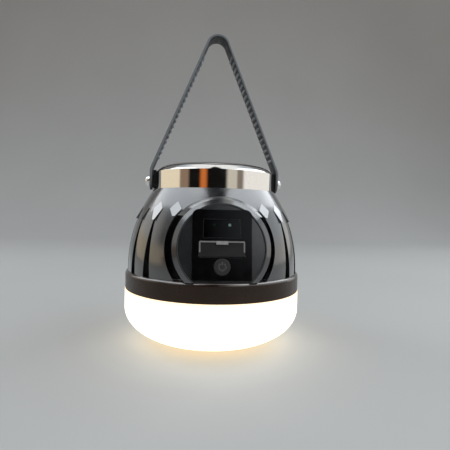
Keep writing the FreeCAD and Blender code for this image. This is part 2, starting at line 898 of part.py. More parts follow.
def strap_side():
    """Side view of the strap: parallel edges with a round end below the pivot."""
    half = strap_width / 2
    middle = z_pivot + strap_tab_lift
    top = z_strap_top + half
    corners = [Vector(-far, half, middle), Vector(-far, 0, middle - half), Vector(-far, -half, middle)]
    points = [corners[2], Vector(-far, -half, top), Vector(-far, half, top), corners[0]]
    edges = [Part.makeLine(a, b) for a, b in zip(points, points[1:])]
    return Part.Face(Part.Wire([Part.Arc(*corners).toShape()] + edges)).extrude(Vector(2 * far, 0, 0))


def strap_ribs(lean, bend, side_length):
    """Cross ribs along the straight inner faces of both sides."""
    half = rib_width / 2
    section = square((rib_root, -half), (rib_root, half), (-rib_height, half / 2), (-rib_height, -half / 2))
    face = Part.Face(rounded_wire(section, upright))
    face.translate(Vector(0, -rib_length / 2, 0))
    rib = face.extrude(Vector(0, rib_length, 0))
    rib.rotate(Vector(0, 0, 0), Vector(0, 1, 0), -math.degrees(lean))
    ribs = []
    for i in range(int((side_length - 2 * rib_margin) / rib_pitch) + 1):
        along = rib_margin + rib_pitch * i
        copy = rib.copy()
        copy.translate(Vector(strap_inner - along * math.sin(lean), 0, bend + along * math.cos(lean)))
        ribs += both_sides(copy)
    return ribs


def make_handle_screws():
    """Domed screws through the strap, lugs, collar and neck."""
    head_end = bush_end + screw_head_height
    dome_radius_of_head = (screw_head_radius ** 2 + screw_head_height ** 2) / (2 * screw_head_height)
    ball = Part.makeSphere(dome_radius_of_head, Vector(head_end - dome_radius_of_head, 0, z_pivot))
    head = ball.common(along_x(2 * screw_head_radius, bush_end, far))
    slot = Part.makeBox(screw_slot_depth, screw_slot, screw_slot_length,
                        Vector(head_end - screw_slot_depth, -screw_slot / 2, z_pivot - screw_slot_length / 2))
    cross = slot.copy()
    cross.rotate(Vector(0, 0, z_pivot), Vector(1, 0, 0), 90)
    screw = head.fuse(along_x(screw_radius, neck_bore - 2 * nut_height, bush_end)).cut([slot, cross])
    return Part.makeCompound(both_sides(screw))


def make_handle_bushes():
    """Sleeves that the strap turns on, between the lugs and the screw heads."""
    bush = along_x(bush_radius, lug_face, bush_end).cut(along_x(screw_radius + screw_gap, 0, far))
    return Part.makeCompound(both_sides(bush))


def make_handle_nuts():
    """Hexagon nuts on the flats inside the neck."""
    corner = nut_across / math.sqrt(3)
    seat = neck_bore + nut_seat
    turns = [math.radians(60 * i) for i in range(7)]
    points = [Vector(seat, corner * math.cos(a), z_pivot + corner * math.sin(a)) for a in turns]
    nut = Part.Face(Part.makePolygon(points)).extrude(Vector(-nut_height, 0, 0))
    nut = nut.cut(along_x(screw_radius + screw_gap, 0, far))
    return Part.makeCompound(both_sides(nut))


def make_control_fascia():
    """Gloss panel with seats for the window and the flap and a hole for the button."""
    panel = fascia_blank(0, n_fascia_back, fascia_proud)
    low = window_rise - window_height / 2
    high = window_rise + window_height / 2
    seat = pad(window_width, low, high, fascia_proud - lens_thickness, far, window_corner, window_corner)
    view = pad(window_width - 2 * window_ledge, low + window_ledge, high - window_ledge, -far, far)
    reach = flap_half + flap_gap
    flap_seat = pad(flap_width + 2 * flap_gap, flap_rise - reach, flap_rise + reach, n_port_floor, far,
                    flap_corner + flap_gap)
    button = peg(button_radius + button_gap, -far, far, 0, -button_drop)
    return on_pod(panel.cut([seat, view, flap_seat, port_room(-far, far), button, flap_rod(flap_pin_gap)]))


def hinge_rod(radius, half):
    """Rod along the flap's hinge axis, in the pod's frame."""
    return Part.makeCylinder(radius, 2 * half, Vector(-half, flap_axis_v, flap_axis_n), Vector(1, 0, 0))


def flap_rod(grow):
    """The flap's hinge pin, or the bore that takes it, in the pod's frame."""
    return hinge_rod(flap_pin_radius + grow, flap_width / 2 + flap_gap + flap_pin_reach)


def make_flap_pin():
    """Steel pin pressed through the flap's lower edge."""
    return on_pod(flap_rod(0))


def make_display_lens():
    """Tinted window in its seat."""
    low = window_rise - window_height / 2 + glue_gap
    high = window_rise + window_height / 2 - glue_gap
    corner = window_corner - glue_gap
    return on_pod(pad(window_width - 2 * glue_gap, low, high, fascia_proud - lens_thickness, fascia_proud,
                      corner, corner))


def make_port_flap():
    """Port cover with a rounded hinge edge, a raised rim and a pull lip."""
    top = flap_rise + flap_half
    plate = pad(flap_width, flap_axis_v, top, n_flap_back, fascia_proud, flap_corner)
    barrel = hinge_rod(flap_thickness / 2, flap_width / 2)
    rim_low = flap_axis_v + flap_thickness
    rim_high = fascia_proud + flap_rim_height
    rim = pad(flap_width, rim_low, top, fascia_proud, rim_high, flap_corner)
    rim = rim.cut(pad(flap_width - 2 * flap_rim, rim_low, top - flap_rim, fascia_proud, rim_high))
    lip = pad(flap_lip_width, top - flap_lip_height, top, fascia_proud, fascia_proud + flap_lip_proud)
    return on_pod(plate.fuse([barrel, rim, lip]).cut(flap_rod(0)).removeSplitter())


def make_power_button():
    """Round button with a flange behind the fascia, a stem and a power symbol."""
    top = fascia_proud + button_proud
    cap = turned([(0, n_flange_top, 0), (button_radius, n_flange_top, 0),
                  (button_radius, top, button_edge), (0, top, 0)])
    flange = peg(button_radius + button_flange, n_flange_top - button_flange_height, n_flange_top)
    stem = peg(button_stem_radius, n_stem_end, n_flange_top)
    button = cap.fuse([flange, stem] + power_symbol(top))
    button.translate(Vector(0, -button_drop, 0))
    return on_pod(button)


def power_symbol(top):
    """Raised broken ring and bar on the button's face."""
    high = top + symbol_height
    inner = symbol_radius - symbol_line
    section = square((inner, top), (symbol_radius, top), (symbol_radius, high), (inner, high))
    face = Part.Face(rounded_wire(section, upright))
    ring = face.revolve(Vector(0, 0, 0), Vector(0, 0, 1), 360 - symbol_gap_angle)
    ring.rotate(Vector(0, 0, 0), Vector(0, 0, 1), 90 + symbol_gap_angle / 2)
    bar = pad(symbol_line, symbol_radius / 2, symbol_radius * 1.2, top, high)
    return [ring, bar]


def make_control_board():
    """Circuit board on the pod's posts."""
    board = pad(board_width, -board_bottom, board_top, n_board - board_thickness, n_board,
                board_corner, board_corner)
    holes = [peg(board_screw_radius + screw_gap, -far, far, u, v) for u, v in board_post_places()]
    return on_pod(board.cut(holes))


def make_board_screws():
    """Four small screws through the board into the posts."""
    back = n_board - board_thickness
    screws = []
    for u, v in board_post_places():
        shank = peg(board_screw_radius, back, n_board + small_screw_length, u, v)
        head = peg(small_screw_head, back - small_screw_head_height, back, u, v)
        screws.append(on_pod(shank.fuse(head)))
    return Part.makeCompound(screws)


def make_tact_switch():
    """Switch body with a well for its plunger."""
    half = switch_size / 2
    top = n_board + switch_height
    body = pad(switch_size, -button_drop - half, -button_drop + half, n_board, top)
    return on_pod(body.cut(peg(switch_plunger_radius + switch_gap, top - switch_well, top, 0, -button_drop)))


def make_switch_plunger():
    """Plunger between the button's stem and the switch."""
    low = n_board + switch_height - switch_well + button_travel + switch_gap
    return on_pod(peg(switch_plunger_radius, low, n_stem_end, 0, -button_drop))


def indicator_places():
    """Where the battery lights stand across the window."""
    middle = (indicator_count - 1) / 2
    return [indicator_pitch * (i - middle) for i in range(indicator_count)]


def make_light_guide():
    """Block between the board and the window with one shaft for each light."""
    low = window_rise - guide_height / 2
    high = window_rise + guide_height / 2
    block = pad(guide_width, low, high, n_board, fascia_proud - lens_thickness - guide_gap)
    shaft = indicator_pitch - guide_wall
    shafts = [pad(shaft, low + guide_wall, high - guide_wall, n_board, far, u=u) for u in indicator_places()]
    return on_pod(block.cut(shafts))


def make_indicator_leds():
    """Row of battery lights on the board."""
    half = indicator_size / 2
    top = n_board + indicator_height
    chips = [pad(indicator_size, window_rise - half, window_rise + half, n_board, top, u=u)
             for u in indicator_places()]
    return on_pod(Part.makeCompound(chips))


def usb_shell_at(width, height, place):
    """Metal socket shell with a closed back, upright on the board."""
    half = height / 2
    block = pad(width, flap_rise - half, flap_rise + half, n_board, n_usb, u=place)
    room = pad(width - 2 * usb_shell, flap_rise - half + usb_shell, flap_rise + half - usb_shell,
               n_board + usb_back, n_usb, u=place)
    return on_pod(block.cut(room))


def usb_tongue_at(width, height, place):
    """Contact tongue inside a socket."""
    across = width - 2 * usb_shell - 2 * usb_tongue_margin
    half = height / 2
    root = n_board + usb_back
    tip = n_usb - usb_tongue_inset
    return on_pod(pad(across, flap_rise - half, flap_rise + half, root, tip, u=place))


def make_board_connectors():
    """Wire sockets on the back of the board."""
    back = n_board - board_thickness
    half = connector_height / 2
    blocks = [pad(connector_width, v - half, v + half, back - connector_depth, back, u=u)
              for u, v in connector_places]
    return on_pod(Part.makeCompound(blocks))


def make_charge_coil():
    """Charging coil on the back of the board."""
    back = n_board - board_thickness
    return on_pod(peg(coil_radius, back - coil_height, back, *coil_place))


def cell_places():
    """Middles of the three cells."""
    turns = [math.radians(90 + 120 * i) for i in range(3)]
    return [(cell_ring * math.cos(a), cell_back + cell_ring * math.sin(a)) for a in turns]


def make_battery_cells():
    """Three upright cells."""
    top = z_cells + cell_length
    return Part.makeCompound([post(cell_radius, z_cells, top, x, y) for x, y in cell_places()])


def make_cell_links():
    """Thin plates that join the cells at both ends."""
    corners = [Vector(x, y, 0) for x, y in cell_places()]
    face = Part.Face(Part.makePolygon(corners + corners[:1]))
    plate = face.extrude(Vector(0, 0, cell_link)).cut(post(bolt_radius + bolt_gap, -far, far, 0, cell_back))
    low = plate.copy()
    low.translate(Vector(0, 0, z_cells - cell_link))
    high = plate.copy()
    high.translate(Vector(0, 0, z_cells + cell_length))
    return Part.makeCompound([low, high])


def holder(low, high, pocket_low, pocket_high, hole_low):
    """Round holder with a pocket for each cell and a hole for the bolt."""
    block = post(holder_radius, low, high, 0, cell_back)
    pockets = [post(cell_radius + cell_gap, pocket_low, pocket_high, x, y) for x, y in cell_places()]
    corners = [Vector(x, y, pocket_low) for x, y in cell_places()]
    link_face = Part.Face(Part.makePolygon(corners + corners[:1]))
    link_room = link_face.extrude(Vector(0, 0, pocket_high - pocket_low))
    bolt = post(bolt_radius + bolt_gap, hole_low, high, 0, cell_back)
    return block.cut(pockets + [link_room, bolt])


def make_battery_base():
    """Lower holder, seated on the lamp plate."""
    floor = z_plate + holder_floor
    return holder(z_plate, floor + holder_grip, floor, floor + holder_grip, z_plate + holder_floor / 2)


def make_battery_cap():
    """Upper holder, pulled down by the bolt."""
    roof = z_cells + cell_length + cell_link
    return holder(roof - holder_grip, roof + holder_floor, roof - holder_grip, roof, roof - holder_grip)


def make_battery_bolt():
    """Long bolt between the cells that ties both holders together."""
    top = z_cells + cell_length + cell_link + holder_floor
    shank = post(bolt_radius, z_plate + holder_floor / 2, top, 0, cell_back)
    return shank.fuse(post(plate_screw_head, top, top + plate_screw_head_height, 0, cell_back))


def wire_run(points):
    """Round wire along straight runs joined by tangent arcs."""
    edges = []
    last = points[0]
    for i in range(1, len(points) - 1):
        before = points[i - 1] - points[i]
        after = points[i + 1] - points[i]
        reach = wire_arc_share * min(before.Length, after.Length)
        half = before.getAngle(after) / 2
        radius = reach * math.tan(half)
        first = points[i] + before.normalize() * reach
        end = points[i] + after.normalize() * reach
        middle = points[i] + (before + after).normalize() * (radius / math.sin(half) - radius)
        edges.append(Part.makeLine(last, first))
        edges.append(Part.Arc(first, middle, end).toShape())
        last = end
    edges.append(Part.makeLine(last, points[-1]))
    path = Part.Wire(edges)
    section = Part.Wire(Part.makeCircle(wire_radius, points[0], points[1] - points[0]))
    pipe = Part.BRepOffsetAPI.MakePipeShell(path)
    pipe.add(section)
    pipe.build()
    pipe.makeSolid()
    return pipe.shape()


def connector_mouth(index, out=0):
    """Middle of a board connector's back face, or a point straight out of it."""
    u, v = connector_places[index]
    return pod_point(u, v, n_board - board_thickness - connector_depth - out)


def make_solar_lead():
    """Wire from the solar plate down to the board."""
    start = Vector(-solar_wire_across, -solar_wire_front, z_seat)
    drop = start - Vector(0, 0, solar_wire_drop)
    turn = drop + Vector(solar_wire_inward, -solar_wire_forward, -solar_wire_fall)
    return wire_run([start, drop, turn, connector_mouth(0, solar_wire_end), connector_mouth(0)])


def make_battery_lead():
    """Wire from the cells' holder to the board."""
    side = Vector(0, cell_back - holder_radius, z_plate + holder_floor + holder_grip / 2)
    out = side - Vector(0, battery_wire_out, 0)
    turn = out + Vector(battery_wire_out, 0, battery_wire_rise)
    return wire_run([side, out, turn, connector_mouth(1, battery_wire_end), connector_mouth(1)])


def make_lamp_lead():
    """Wire from the board down through the lamp plate to the light board."""
    foot = Vector(0, -lamp_wire_ring, z_board)
    rise = foot + Vector(0, 0, lamp_wire_rise)
    return wire_run([foot, rise, connector_mouth(2, lamp_wire_end), connector_mouth(2)])


def all_nodes():
    """Every piece under its name."""
    left_lug, right_lug = reversed(both_sides(make_lug()))
    return {
        "upper_housing": make_upper_housing(), "trim_ring": make_trim_ring(),
        "diffuser_dome": make_diffuser_dome(), "dome_seal": make_dome_seal(),
        "chrome_collar": make_chrome_collar(), "collar_seal": make_collar_seal(),
        "solar_plate": make_solar_plate(), "solar_cover": make_solar_cover(),
        "left_lug": left_lug, "right_lug": right_lug,
        "handle_strap": make_handle_strap(), "handle_screws": make_handle_screws(),
        "handle_bushes": make_handle_bushes(), "handle_nuts": make_handle_nuts(),
        "control_fascia": make_control_fascia(), "display_lens": make_display_lens(),
        "port_flap": make_port_flap(), "flap_pin": make_flap_pin(),
        "power_button": make_power_button(), "switch_plunger": make_switch_plunger(),
        "tact_switch": make_tact_switch(), "control_board": make_control_board(),
        "board_screws": make_board_screws(), "board_connectors": make_board_connectors(),
        "charge_coil": make_charge_coil(), "light_guide": make_light_guide(),
        "indicator_leds": make_indicator_leds(),
        "usb_a_shell": usb_shell_at(usb_a_width, usb_a_height, usb_a_place),
        "usb_a_tongue": usb_tongue_at(usb_a_width, usb_a_tongue_height, usb_a_place),
        "usb_c_shell": usb_shell_at(usb_c_width, usb_c_height, usb_c_place),
        "usb_c_tongue": usb_tongue_at(usb_c_width, usb_c_tongue_height, usb_c_place),
        "lamp_plate": make_lamp_plate(), "plate_screws": make_plate_screws(),
        "led_board": make_led_board(), "led_chips": make_led_chips(), "led_screws": make_led_screws(),
        "battery_cells": make_battery_cells(), "cell_links": make_cell_links(),
        "battery_base": make_battery_base(), "battery_cap": make_battery_cap(),
        "battery_bolt": make_battery_bolt(), "solar_lead": make_solar_lead(),
        "battery_lead": make_battery_lead(), "lamp_lead": make_lamp_lead(),
    }


os.makedirs("parts", exist_ok=True)
for name, shape in all_nodes().items():
    shape.exportStep("parts/" + name + ".step")
    print(name, len(shape.Solids), round(shape.Volume, 1), shape.isValid())
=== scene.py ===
import json
import math

import bmesh
import bpy
from mathutils import Matrix, Vector


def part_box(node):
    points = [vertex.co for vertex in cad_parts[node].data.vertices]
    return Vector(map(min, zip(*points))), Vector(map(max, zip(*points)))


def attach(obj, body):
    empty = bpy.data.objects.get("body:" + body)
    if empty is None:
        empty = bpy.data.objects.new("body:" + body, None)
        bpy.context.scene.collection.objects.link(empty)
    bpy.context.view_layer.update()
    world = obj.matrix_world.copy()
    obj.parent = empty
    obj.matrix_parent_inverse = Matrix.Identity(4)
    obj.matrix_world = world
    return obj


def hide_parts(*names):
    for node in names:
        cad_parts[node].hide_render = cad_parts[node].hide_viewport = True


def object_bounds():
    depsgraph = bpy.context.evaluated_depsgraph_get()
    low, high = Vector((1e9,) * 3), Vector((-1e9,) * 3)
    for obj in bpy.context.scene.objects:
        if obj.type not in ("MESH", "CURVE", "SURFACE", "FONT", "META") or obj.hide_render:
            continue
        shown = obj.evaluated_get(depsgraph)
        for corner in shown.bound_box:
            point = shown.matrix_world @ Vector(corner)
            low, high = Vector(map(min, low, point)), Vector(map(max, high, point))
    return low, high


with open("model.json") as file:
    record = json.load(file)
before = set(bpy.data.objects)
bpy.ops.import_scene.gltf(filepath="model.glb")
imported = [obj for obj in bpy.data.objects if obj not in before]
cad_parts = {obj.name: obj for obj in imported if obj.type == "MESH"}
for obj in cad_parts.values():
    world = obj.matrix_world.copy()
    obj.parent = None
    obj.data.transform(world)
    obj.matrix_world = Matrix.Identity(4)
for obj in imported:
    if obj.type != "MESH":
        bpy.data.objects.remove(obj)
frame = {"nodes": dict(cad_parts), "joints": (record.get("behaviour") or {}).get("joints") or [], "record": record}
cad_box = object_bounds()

MM = 0.001

# Camera
CAMERA_PLACE = Vector((-30.8, -305.1, 97.4)) * MM
CAMERA_YAW = math.radians(7.45)
CAMERA_DROP = math.radians(2.0)
CAMERA_ROLL = math.radians(1.455)
CAMERA_LENS = 32.0
CAMERA_SENSOR = 36.0
CAMERA_NEAR = 0.01

# Stage
FLOOR_COLOR = (0.5, 0.5, 0.49)
FLOOR_ROUGHNESS = 0.7
FLOOR_MOTTLE = 0.3
FLOOR_FRONT = -2.5
FLOOR_BACK = 0.9
SWEEP_RADIUS = 0.7
SWEEP_STEPS = 24
BACKDROP_TOP = 2.4
STAGE_HALF_WIDTH = 1.7

# Room: a dark wall with panels in it, as (middle, half width, colour), in degrees to the right of the front
WALL_COLOR = (0.007, 0.0065, 0.006)
PANELS = {
    "cream_screen": (-106, 33, (0.88, 0.75, 0.55)),
    "brown_screen": (-64, 9, (0.28, 0.19, 0.13)),
    "amber_screen": (-26, 6, (0.62, 0.17, 0.04)),
    "grey_screen": (29, 11, (0.62, 0.57, 0.48)),
    "dim_screen": (45, 6, (0.24, 0.2, 0.16)),
    "white_screen": (105, 54, (0.95, 0.92, 0.87)),
}
PANEL_BLUR = 6

# Frieze of wider panels above the wall
FRIEZE_COLOR = (0.015, 0.016, 0.018)
FRIEZE_PANELS = {
    "dim_frieze": (-66, 30, (0.2, 0.19, 0.18)),
    "pale_frieze": (-56, 10, (0.7, 0.69, 0.67)),
    "left_frieze": (-112, 24, (0.85, 0.84, 0.82)),
    "right_frieze": (79, 67, (0.9, 0.95, 1.0)),
}
FRIEZE_BLUR = 14
FRIEZE_START = 0.14
FRIEZE_FULL = 0.24

# Ceiling, pale overhead and dark over the front
CEILING_COLOR = (0.46, 0.51, 0.56)
CEILING_GAP = (0, 32, (0.01, 0.012, 0.014))
CEILING_GAP_BLUR = 16
CEILING_START = 0.5
CEILING_FULL = 0.62
OVERHEAD_COLOR = (0.95, 0.96, 0.95)
OVERHEAD_START = 0.84
OVERHEAD_FULL = 0.92

# Soft lights at both sides, with each one's side, rise and power
SOFTBOX_BEARING = math.radians(60)
SOFTBOX_DISTANCE = 0.75
SOFTBOX_BACK = 0.48
SOFTBOX_SIZE = (1.46, 0.38)
SOFTBOX_COLOR = (0.92, 0.96, 1.0)
SOFTBOXES = {
    "left_softbox": (-1, math.radians(53.5), 3.0),
    "right_softbox": (1, math.radians(51), 3.7),
}

# Surfaces: the middle range of a noise, what counts as a sharp edge, a top or a side, and a fine grain
NOISE_LOW = 0.35
NOISE_HIGH = 0.65
EDGE_SHARP = 0.8
EDGE_FLAT = 0.985
EDGE_SAMPLES = 6
TOP_START = 0.1
TOP_FULL = 0.5
# Sides of the strap that face front and back, painted pale as a highlight
HIGHLIGHT_SIDE_START = 0.3
HIGHLIGHT_SIDE_FULL = 0.8
GRAIN_SIZE = 0.35 * MM
GRAIN_DEPTH = 0.02 * MM

# Angle from which an edge of a mesh is drawn sharp
SHARP_ANGLE = math.radians(35)

# Glow of the dome, from its foot up to its rim, where it is dimmer and warmer as painted shade under the trim ring
GLOW_STRENGTH = 1.25
GLOW_SHADED_RIM = 8 * MM
GLOW_STOPS = (
    (0.0, (1.0, 0.72, 0.42)),
    (0.12, (1.0, 0.86, 0.64)),
    (0.4, (1.0, 0.95, 0.84)),
    (0.8, (1.0, 0.93, 0.78)),
    # Last stop, over the top of the dome: painted shade under the trim ring
    (1.0, (1.0, 0.74, 0.42)),
)

# Diamond facets of the housing, and the polished skins on them
FACET_SLOPE = math.radians(29.5)
FACET_SLACK = 0.004
FACET_LEAST_AREA = 20 * MM ** 2
FACET_FOOT = 90 * MM
FACET_HEAD = 103.1 * MM
SKIN_DEPTH = 0.1 * MM
SKIN_PROUD = 0.03 * MM
SKIN_WELD = 0.002 * MM

# Port cover: how far its lip and its rim stand out of its plate, and from what height it is painted all pale, a
# painted highlight on them
LIP_PROUD = 1.2 * MM
RIM_PROUD = 0.45 * MM
HIGHLIGHT_RISE = 1.4 * RIM_PROUD
RIM_HIGHLIGHT_COLOR = (0.42, 0.41, 0.4)

# Solar cells: their pitch, the bars between them and the fingers on them
CELL_PITCH = 13.2 * MM
CELL_BAR = 1.1 * MM
ROW_PITCH = 33.0 * MM
ROW_BAR = 1.4 * MM
FINGER_PITCH = 2.2 * MM
FINGER_WIDTH = 0.16 * MM
FINGER_SHARE = 0.45
LINE_SHIFT = 100.5

# Clear cover of the solar cells: height of its upright edge and its gap over the cells
SOLAR_EDGE = 1.9 * MM
SOLAR_GAP = 0.1 * MM
SOLAR_SIDES = 96
SOLAR_RINGS = 24

# Strap, as thick and as curved as the part that it stands for
STRAP_THICKNESS = 2.0 * MM
STRAP_EDGE = 0.9 * MM
STRAP_BEND_RISE = 8.8 * MM
STRAP_BEND_RADIUS = 11.0 * MM
STRAP_APEX_RADIUS = 8.0 * MM
STRAP_STEP = 2.5 * MM
STRAP_END_SHARE = 0.12
BEND_STEPS = 6
APEX_STEPS = 10
SECTION_STEPS = 4
STRAP_HOLE = 3.1 * MM
HOLE_SIDES = 48

# Ribs of the strap, lower and narrower at their ends
RIB_PITCH = 4.3 * MM
RIB_MARGIN = 8.0 * MM
RIB_WIDTH = 1.9 * MM
RIB_LENGTH = 12.8 * MM
RIB_HEIGHT = 1.0 * MM
RIB_ROOT = 0.3 * MM
RIB_FULLNESS = 8
RIB_END_HEIGHT = 0.05
RIB_END_WIDTH = 0.5
RIB_SIDES = 8
RIB_RINGS = 14

# Display film behind the window and its battery lights, some of them lit
LENS_THICKNESS = 1.2 * MM
FILM_SIZE = (20.4 * MM, 8.7 * MM)
FILM_FRONT = 0.06 * MM
FILM_THICKNESS = 0.1 * MM
FILM_CORNER = 0.8 * MM
LIGHT_RADIUS = 0.95 * MM
LIGHT_PITCH = 4.9 * MM
LIGHT_RISE = 2.4 * MM
LIGHT_PROUD = 0.04 * MM
LIGHT_STATES = {-1: "dim", 0: "off", 1: "lit"}
CORNER_STEPS = 6

nodes = frame["nodes"]
joints = {joint["name"]: joint for joint in frame["joints"]}


class Nodes:
    """A node tree in the making."""

    def __init__(self, owner):
        owner.use_nodes = True
        self.tree = owner.node_tree

    def add(self, kind, inputs=None, **settings):
        """New node with its settings and with its sockets linked or set."""
        made = self.tree.nodes.new(kind)
        for name, value in settings.items():
            setattr(made, name, value)
        for name, value in (inputs or {}).items():
            if isinstance(value, bpy.types.NodeSocket):
                self.tree.links.new(value, made.inputs[name])
            else:
                made.inputs[name].default_value = value
        return made

    def spread(self, source, low, high, start=NOISE_LOW, end=NOISE_HIGH):
        """Source between start and end, spread from low to high."""
        inputs = {"Value": source, "From Min": start, "From Max": end, "To Min": low, "To Max": high}
        return self.add("ShaderNodeMapRange", inputs).outputs["Result"]

    def math(self, operation, first, second=0.0):
        """Result of one sum."""
        return self.add("ShaderNodeMath", {0: first, 1: second}, operation=operation).outputs["Value"]

    def dot(self, first, second):
        """How far one vector reaches along another."""
        made = self.add("ShaderNodeVectorMath", {0: first, 1: second}, operation="DOT_PRODUCT")
        return made.outputs["Value"]

    def axis(self, vector, name):
        """One coordinate of a vector."""
        return self.add("ShaderNodeSeparateXYZ", {"Vector": vector}).outputs[name]

    def mix(self, share, first, second):
        """Colour between two colours or sockets."""
        pick = [c if isinstance(c, bpy.types.NodeSocket) else (*c, 1) for c in (first, second)]
        return self.add("ShaderNodeMix", {0: share, 6: pick[0], 7: pick[1]}, data_type="RGBA").outputs[2]


class Room(Nodes):
    """A world in the making."""

    def __init__(self, name):
        self.world = bpy.data.worlds.new(name)
        super().__init__(self.world)


class Surface(Nodes):
    """A material in the making: a node tree around one principled shader."""

    def __init__(self, name, color, roughness, values=None):
        self.material = bpy.data.materials.new(name)
        super().__init__(self.material)
        self.shader = self.tree.nodes["Principled BSDF"]
        self.place = self.add("ShaderNodeTexCoord").outputs["Object"]
        self.shader.inputs["Base Color"].default_value = (*color, 1)
        self.shader.inputs["Roughness"].default_value = roughness
        for socket, value in (values or {}).items():
            self.shader.inputs[socket].default_value = value

    def noise(self, size, detail=3.0, stretch=(1, 1, 1)):
        """Noise whose features are about a size across, drawn out along an axis where stretched."""
        place = self.add("ShaderNodeMapping", {"Vector": self.place, "Scale": stretch}).outputs["Vector"]
        inputs = {"Vector": place, "Scale": 1 / size, "Detail": detail}
        return self.add("ShaderNodeTexNoise", inputs).outputs["Fac"]

    def rounded(self, radius):
        """Normal rounded over the edges."""
        return self.add("ShaderNodeBevel", {"Radius": radius}, samples=EDGE_SAMPLES).outputs["Normal"]

    def sharp(self, rounded):
        """Mask that is 1 on sharp edges, where the rounded normal leaves the face's own."""
        facing = self.add("ShaderNodeNewGeometry").outputs["Normal"]
        return self.spread(self.dot(rounded, facing), 1, 0, EDGE_SHARP, EDGE_FLAT)

    def join(self, source, socket):
        """Source into one of the shader's sockets."""
        self.tree.links.new(source, self.shader.inputs[socket])

    def bump(self, height, distance, normal=None):
        """Relief of a height map, on top of a normal."""
        inputs = {"Height": height, "Distance": distance}
        if normal:
            inputs["Normal"] = normal
        self.join(self.add("ShaderNodeBump", inputs).outputs["Normal"], "Normal")


def toned(color, gain, lift):
    """Colour times a gain, with a lift added."""
    return tuple(min(1.0, c * gain + lift) for c in color)


def moulded(name, color, roughness, wear_and_highlight, edge=0.35, values=None, polish=False):
    """Moulded plastic with a fine grain, uneven sheen, paler edges that are partly worn and partly painted
    highlight and, where asked, polished tops.
    """
    surface = Surface(name, color, roughness, values)
    rounded = surface.rounded(edge * MM)
    scuffs = surface.spread(surface.noise(4 * MM), 0.35, 1)
    # Sharp edges painted paler: partly worn, partly a painted edge highlight
    worn_and_highlit = surface.math("MULTIPLY", surface.sharp(rounded), scuffs)
    mottling = surface.spread(surface.noise(22 * MM), 0, 1)
    body = surface.mix(mottling, color, toned(color, 1.3, 0.002))
    surface.join(surface.mix(worn_and_highlit, body, toned(color, 1.6, wear_and_highlight)), "Base Color")
    sheen = surface.spread(surface.noise(9 * MM, 5), roughness - 0.05, roughness + 0.06)
    surface.join(sheen, "Roughness")
    surface.bump(surface.noise(GRAIN_SIZE, 2), GRAIN_DEPTH, rounded)
    if polish:
        facing = surface.add("ShaderNodeNewGeometry").outputs["Normal"]
        tops = surface.spread(surface.axis(facing, "Z"), 0, 1, TOP_START, TOP_FULL)
        surface.join(tops, "Coat Weight")
    return surface.material


def port_cover():
    """Cover of the ports: matte, with a raised rim and a pull lip painted pale as a highlight, and scuffed."""
    color = (0.009, 0.009, 0.0095)
    surface = Surface("flap_black", color, 0.45)
    out = pod_axes()[2]
    lip_front = max(vertex.co.dot(out) for vertex in nodes["port_flap"].data.vertices)
    plate_front = lip_front - LIP_PROUD
    height = surface.dot(surface.place, out)
    # Raised rim and lip painted pale: a painted highlight where they catch the light, with scuffs
    raised = surface.spread(height, 0, 1, plate_front, plate_front + HIGHLIGHT_RISE)
    scuffs = surface.spread(surface.noise(3 * MM), 0.8, 1)
    worn_and_highlit = surface.math("MULTIPLY", raised, scuffs)
    streaks = surface.spread(surface.noise(6 * MM, 5, (0.3, 1, 1)), 0, 1)
    body = surface.mix(streaks, color, toned(color, 1.6, 0.004))
    surface.join(surface.mix(worn_and_highlit, body, RIM_HIGHLIGHT_COLOR), "Base Color")
    surface.join(surface.spread(surface.noise(9 * MM, 5), 0.4, 0.5), "Roughness")
    surface.bump(surface.noise(GRAIN_SIZE, 2), GRAIN_DEPTH, surface.rounded(0.4 * MM))
    return surface.material


def rubber(name, color, roughness, rim=None):
    """Silicone rubber: matte, with a bloom of dust, a soft fine grain and, on a strap, narrow sides painted paler
    as a highlight.
    """
    surface = Surface(name, color, roughness, {"Specular IOR Level": 0.35, "Sheen Weight": 0.02})
    rounded = surface.rounded(0.5 * MM)
    bloom = surface.spread(surface.noise(7 * MM, 6), 0, 1)
    dust_and_side_highlight = surface.mix(bloom, color, toned(color, 1.5, 0.006))
    # On a strap, the narrow sides are painted pale: a painted highlight
    if rim:
        facing = surface.add("ShaderNodeTexCoord").outputs["Normal"]
        aside = surface.math("ABSOLUTE", surface.axis(facing, "Y"))
        dust_and_side_highlight = surface.mix(surface.spread(aside, 0, 1, HIGHLIGHT_SIDE_START, HIGHLIGHT_SIDE_FULL), dust_and_side_highlight, rim)
    surface.join(surface.mix(surface.sharp(rounded), dust_and_side_highlight, toned(color, 1.8, 0.05)), "Base Color")
    sheen = surface.spread(surface.noise(3 * MM, 4), roughness - 0.1, roughness + 0.08)
    surface.join(sheen, "Roughness")
    surface.bump(surface.noise(0.5 * MM, 3), 0.03 * MM, rounded)
    return surface.material


def metal(name, color, roughness, grain=(1, 1, 1)):
    """Bare or plated metal, brushed along an axis where its grain is drawn out."""
    surface = Surface(name, color, roughness, {"Metallic": 1.0})
    rounded = surface.rounded(0.3 * MM)
    streaks = surface.noise(0.6 * MM, 4, grain)
    surface.join(surface.mix(surface.spread(streaks, 0, 1), toned(color, 0.9, 0), color), "Base Color")
    smudges = surface.spread(surface.noise(12 * MM, 6), 0.7 * roughness, 1.5 * roughness)
    dulled = surface.math("MULTIPLY", surface.sharp(rounded), 0.05)
    surface.join(surface.math("ADD", smudges, dulled), "Roughness")
    surface.bump(streaks, 0.004 * MM, rounded)
    return surface.material


